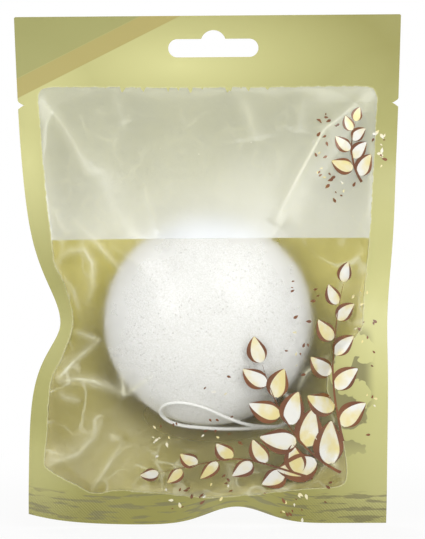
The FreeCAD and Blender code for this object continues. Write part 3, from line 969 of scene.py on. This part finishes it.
def slot_outline():
    """The punched slot: two half-round ends, a straight lower edge, and a round hump on the upper one."""
    reach = slot_half - slot_end
    hump_middle = slot_end + hump_rise - hump_radius
    hump_start = math.asin((slot_end - hump_middle) / hump_radius)

    def arc(x, z, radius, start, end):
        """Points about (x, z) from one angle to another."""
        turn = np.linspace(start, end, arc_steps)
        return np.stack([x + radius * np.cos(turn), z + radius * np.sin(turn)], axis=1)

    right = arc(reach, 0, slot_end, 0, np.pi / 2)
    hump = arc(0, hump_middle, hump_radius, hump_start, np.pi - hump_start)
    left = arc(-reach, 0, slot_end, np.pi / 2, 3 * np.pi / 2)
    return np.vstack([right, hump, left, arc(reach, 0, slot_end, -np.pi / 2, 0)])


def header_outline():
    """Round the header from the middle of its right edge: up, over the top, down the left edge, and along
    the tear."""

    def edge(side, start, end):
        """Points on a side edge from one level to another."""
        level = np.linspace(start, end, edge_steps)
        return np.stack([side(level), level], axis=1)

    lowest = tear_level + notch_half
    tear_left = left_edge(tear_level) + notch_depth
    tear_right = right_edge(tear_level) - notch_depth
    tear = [[tear_left, tear_level], [tear_right, tear_level]]
    left = edge(left_edge, top_level, lowest)
    return np.vstack([edge(right_edge, 0, top_level), left, tear, edge(right_edge, lowest, 0)])


def header_grid():
    """Rings from the slot to the outline of the header, as sideways places and levels."""
    inner = resampled(slot_outline(), header_columns, closed=True)
    outer = resampled(header_outline(), header_columns, closed=True)
    share = np.linspace(0, 1, header_rows)[:, None, None]
    rings = inner + share * (outer - inner)
    return rings[..., 0], rings[..., 1]


header_x, header_level = header_grid()
back_rings = on_sheet(header_x, header_level, 1)
header_back = add_film("header_back", back_rings, header_level, back_skin, closed=True)
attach(header_back, "header")
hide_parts("header_back_film")
front_rings = on_sheet(header_x, header_level, -1)
header_front = add_film("header_front", front_rings[::-1], header_level[::-1], front_skin, closed=True)
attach(header_front, "header")
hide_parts("header_front_film")


# Print: leaf sprigs and drifting seeds in brown and pale ink on the front film, each a thin layer of ink
# that follows the film's folds.
ink_gauge = 0.02 * MM
leaf_steps = 18
leaf_tip_share = 0.02
leaf_stalk = 0.1
leaf_bow = (0.5, 0.1)
leaf_half = 0.29
leaf_roundness = 0.8
belly_power = 0.7
blade_share = 0.86
blade_columns = 7
stroke_share = 0.16
stroke_inside = 0.3
stroke_outside = (0.4, 0.7)
stroke_columns = 3
stem_steps = 60
stem_half = 0.45 * MM
stem_taper = 1.1
first_leaf = 0.1
leaf_run = 0.78
leaf_angle = 58
leaf_closing = 12
leaf_shrink = 0.4
end_leaf = 0.62
# Each sprig has the length of its leaves in mm, its pairs of leaves, and its stem's start, bend and end.
sprigs = [
    (15.0, 4, [(44, -151), (24, -141), (16, -112)]),
    (11.5, 4, [(45, -140), (38, -112), (45, -84)]),
    (10.5, 4, [(34, -153), (10, -145), (-20, -150)]),
    (8.5, 3, [(52, -48), (46, -39), (50, -27)]),
]
seed_count = 360
seed_sizes = (0.8 * MM, 2.2 * MM)
seed_margin = 4 * MM
seed_steps = 7
seed_half = 0.24
seed_tip = 0.02
seed_room = 0.7
seed_drift = (0.3, 1.6)
brown_share = 0.6
drift_seed = 5


def ribbon(spine, low, high, across_steps):
    """A flat strip along a spine of (x, level) points, from low to high sideways of it."""
    along = np.gradient(spine, axis=0)
    along = along / np.linalg.norm(along, axis=1, keepdims=True)
    sideways = np.stack([along[:, 1], -along[:, 0]], axis=1)
    share = np.linspace(0, 1, across_steps)
    offset = low[:, None] + share * (high - low)[:, None]
    place = spine[:, None] + offset[..., None] * sideways[:, None]
    return place[..., 0], place[..., 1]


def bow(start, control, end, steps):
    """A curve from start to end that leans towards the control point: (1 - t) squared of the start,
    2t (1 - t) of the control point and t squared of the end."""
    t = np.linspace(0, 1, steps)[:, None]
    return (1 - t) ** 2 * np.array(start) + 2 * t * (1 - t) * np.array(control) + t ** 2 * np.array(end)


def leaf(root, direction, length):
    """A leaf on a short stalk: a pale blade, and two brown strokes that swell along its edges. Its half
    width is a rounded sine along its spine, widest nearer the root."""
    ahead = np.array([math.cos(direction), math.sin(direction)])
    beside = np.array([-ahead[1], ahead[0]])
    start = root + ahead * length * leaf_stalk
    control = start + ahead * length * leaf_bow[0] + beside * length * leaf_bow[1]
    spine = bow(start, control, start + ahead * length, leaf_steps)
    t = np.linspace(leaf_tip_share, 1 - leaf_tip_share, leaf_steps)
    half = leaf_half * length * np.sin(np.pi * t ** belly_power) ** leaf_roundness
    stroke = length * stroke_share * np.sin(np.pi * t)
    blade = ribbon(spine, -blade_share * half, blade_share * half, blade_columns)
    upper = ribbon(spine, half - stroke * stroke_inside, half + stroke * stroke_outside[0], stroke_columns)
    lower = ribbon(spine, -half - stroke * stroke_outside[1], -half + stroke * stroke_inside, stroke_columns)
    return blade, [upper, lower]


def seed(middle, direction, length):
    """A small pointed seed, whose half width is a sine along it, and a little more at both tips."""
    ahead = np.array([math.cos(direction), math.sin(direction)])
    t = np.linspace(0, 1, seed_steps)
    half = seed_half * length * np.sin(np.pi * t ** belly_power) + seed_tip * length
    return ribbon(middle + (t[:, None] - 0.5) * length * ahead, -half, half, stroke_columns)


def inked(grid, lift):
    """A layer of ink over part of the front film."""
    sheet = on_sheet(*grid, -1)
    return shell(sheet + (film_gauge + lift) * facing(sheet, False), ink_gauge)


def printed():
    """All the brown grids and all the pale ones: the sprigs, with leaves in turn on both sides of each stem,
    and seeds that drift away from the stems."""
    brown = []
    pale = []
    leaves = []
    stems = []
    chance = np.random.default_rng(drift_seed)
    for length, pairs, route in sprigs:
        stem = bow(*(np.array(route) * MM), stem_steps)
        half = stem_half * (stem_taper - np.linspace(0, 1, stem_steps))
        brown.append(ribbon(stem, -half, half, stroke_columns))
        slope = np.gradient(stem, axis=0)
        heading = np.arctan2(slope[:, 1], slope[:, 0])
        for k in range(2 * pairs):
            where = int((first_leaf + leaf_run * k / (2 * pairs - 1)) * (len(stem) - 1))
            lean = (1 if k % 2 else -1) * math.radians(leaf_angle - leaf_closing * k / pairs)
            size = length * MM * (1 - leaf_shrink * k / (2 * pairs))
            leaves.append((stem[where], heading[where] + lean, size))
        leaves.append((stem[-1], heading[-1], length * MM * end_leaf))
        stems.append((stem, heading, length * MM))
    for root, direction, length in leaves:
        blade, edges = leaf(root, direction, length)
        pale.append(blade)
        brown.extend(edges)
    middles = np.array([np.mean(blade, axis=(1, 2)) for blade in pale])
    rooms = seed_room * np.array([length for root, direction, length in leaves])
    for k in range(seed_count):
        stem, heading, length = stems[k % len(stems)]
        where = chance.integers(len(stem))
        aside = chance.choice([-1, 1]) * chance.uniform(*seed_drift) * length
        middle = stem[where] + aside * np.array([-math.sin(heading[where]), math.cos(heading[where])])
        grid = seed(middle, chance.uniform(0, 2 * np.pi), chance.uniform(*seed_sizes))
        clear = np.all(np.linalg.norm(middles - middle, axis=1) > rooms)
        if clear and left_edge(middle[1]) + seed_margin < middle[0] < right_edge(middle[1]) - seed_margin:
            (brown if chance.random() < brown_share else pale).append(grid)
    return brown, pale


def ink(name, first, second):
    """Printing ink: slightly uneven in tone, under a thin gloss."""
    material, tree, surface = new_material(name)
    place = put(tree, "TexCoord").outputs["Object"]
    tone = noise(tree, place, 9 * MM, 3.0)
    colour = mixed(tree, eased(tree, tone, 0.35, 0.65), first, second)
    inputs = {"Base Color": colour, "Roughness": 0.4, "Coat Weight": 0.5, "Coat Roughness": 0.1}
    tree.links.new(put(tree, "BsdfPrincipled", inputs).outputs[0], surface)
    return material


brown_grids, pale_grids = printed()
for name, grids, lift, material in (
    ("print_pale", pale_grids, 0.05 * MM, ink("pale_ink", srgb(234, 233, 226), srgb(228, 214, 146))),
    ("print_brown", brown_grids, 0.09 * MM, ink("brown_ink", srgb(100, 52, 10), srgb(124, 70, 20))),
):
    layer = add_piece(name, *joined([inked(grid, lift) for grid in grids]), material)
    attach(layer, "pouch")
    flatten(layer)


# Stage: a white floor under the pouch, a white surround, and three soft lamps in front and behind.
# The camera stands square to the front.
floor_gap = 0.5 * MM
floor_radius = 2.5
floor_corners = 64
floor_white = 0.88
surround_level = 0.34
camera_distance = 0.9
view_height = 191.3 * MM
view_middle = (-0.9 * MM, -78.6 * MM)
camera_roll = math.radians(0.44)
sensor = 36.0


def looked_at(tree):
    """1 for a ray straight from the camera, off a gloss or through the film, and 0 for scattered light."""
    rays = put(tree, "LightPath").outputs
    seen = maths(tree, "MAXIMUM", rays["Is Camera Ray"], rays["Is Glossy Ray"])
    return maths(tree, "MAXIMUM", seen, rays["Is Transmission Ray"])


def white_floor():
    """Matt white near the object, where it holds the shadow, and plain white to the eye further out."""
    material, tree, surface = new_material("white_floor")
    place = put(tree, "TexCoord").outputs["Object"]
    away = put(tree, "VectorMath", {0: place}, operation="LENGTH").outputs["Value"]
    plain = scaled(tree, eased(tree, away, 0.12, 0.4), 1 - floor_white, floor_white)
    share = product(tree, looked_at(tree), plain)
    matt = put(tree, "BsdfDiffuse", {"Color": (0.9, 0.9, 0.9, 1)})
    white = put(tree, "Emission", {"Color": (1, 1, 1, 1), "Strength": 1.0})
    mix = put(tree, "MixShader", {0: share, 1: matt.outputs[0], 2: white.outputs[0]})
    tree.links.new(mix.outputs[0], surface)
    return material


turn = np.linspace(0, 2 * np.pi, floor_corners, endpoint=False)
floor_level = cad_low.z - floor_gap
rim = np.stack([floor_radius * np.cos(turn), floor_radius * np.sin(turn), 0 * turn + floor_level], axis=1)
floor = add_piece("floor", rim, [list(range(floor_corners))], white_floor())

world = bpy.data.worlds.new("white_surround")
world.use_nodes = True
sky = world.node_tree
sky.nodes.clear()
inputs = {"Value": looked_at(sky), "To Min": surround_level, "To Max": 1.0}
level = put(sky, "MapRange", inputs).outputs[0]
surround = put(sky, "Background", {"Color": (1, 1, 1, 1), "Strength": level})
put(sky, "OutputWorld", {"Surface": surround.outputs[0]})
bpy.context.scene.world = world


def add_lamp(name, place, target, size, power):
    """A square soft lamp that looks at the target."""
    lamp = bpy.data.lights.new(name, "AREA")
    lamp.size = size
    lamp.energy = power
    holder = bpy.data.objects.new(name, lamp)
    holder.location = place
    sight = np.array(target) - np.array(place)
    holder.rotation_mode = "XYZ"
    tilt = math.acos(-sight[2] / np.linalg.norm(sight))
    holder.rotation_euler = (tilt, 0, math.atan2(sight[0], -sight[1]) + math.pi)
    bpy.context.scene.collection.objects.link(holder)


object_middle = (view_middle[0], 0, view_middle[1])
add_lamp("key_lamp", (0.42, -0.9, 0.45), object_middle, 0.8, 6.8)
add_lamp("fill_lamp", (-0.5, -0.95, 0.12), object_middle, 0.5, 4.0)
add_lamp("back_lamp", (-0.3, 1.0, 0.6), object_middle, 0.8, 7)

camera_data = bpy.data.cameras.new("camera")
camera_data.sensor_width = sensor
camera_data.lens = sensor * camera_distance / view_height
camera = bpy.data.objects.new("camera", camera_data)
camera.location = (view_middle[0], -camera_distance, view_middle[1])
camera.rotation_euler = (math.pi / 2, camera_roll, 0)
bpy.context.scene.collection.objects.link(camera)
bpy.context.scene.camera = camera
bpy.context.scene.view_settings.view_transform = "Standard"

bpy.context.view_layer.update()
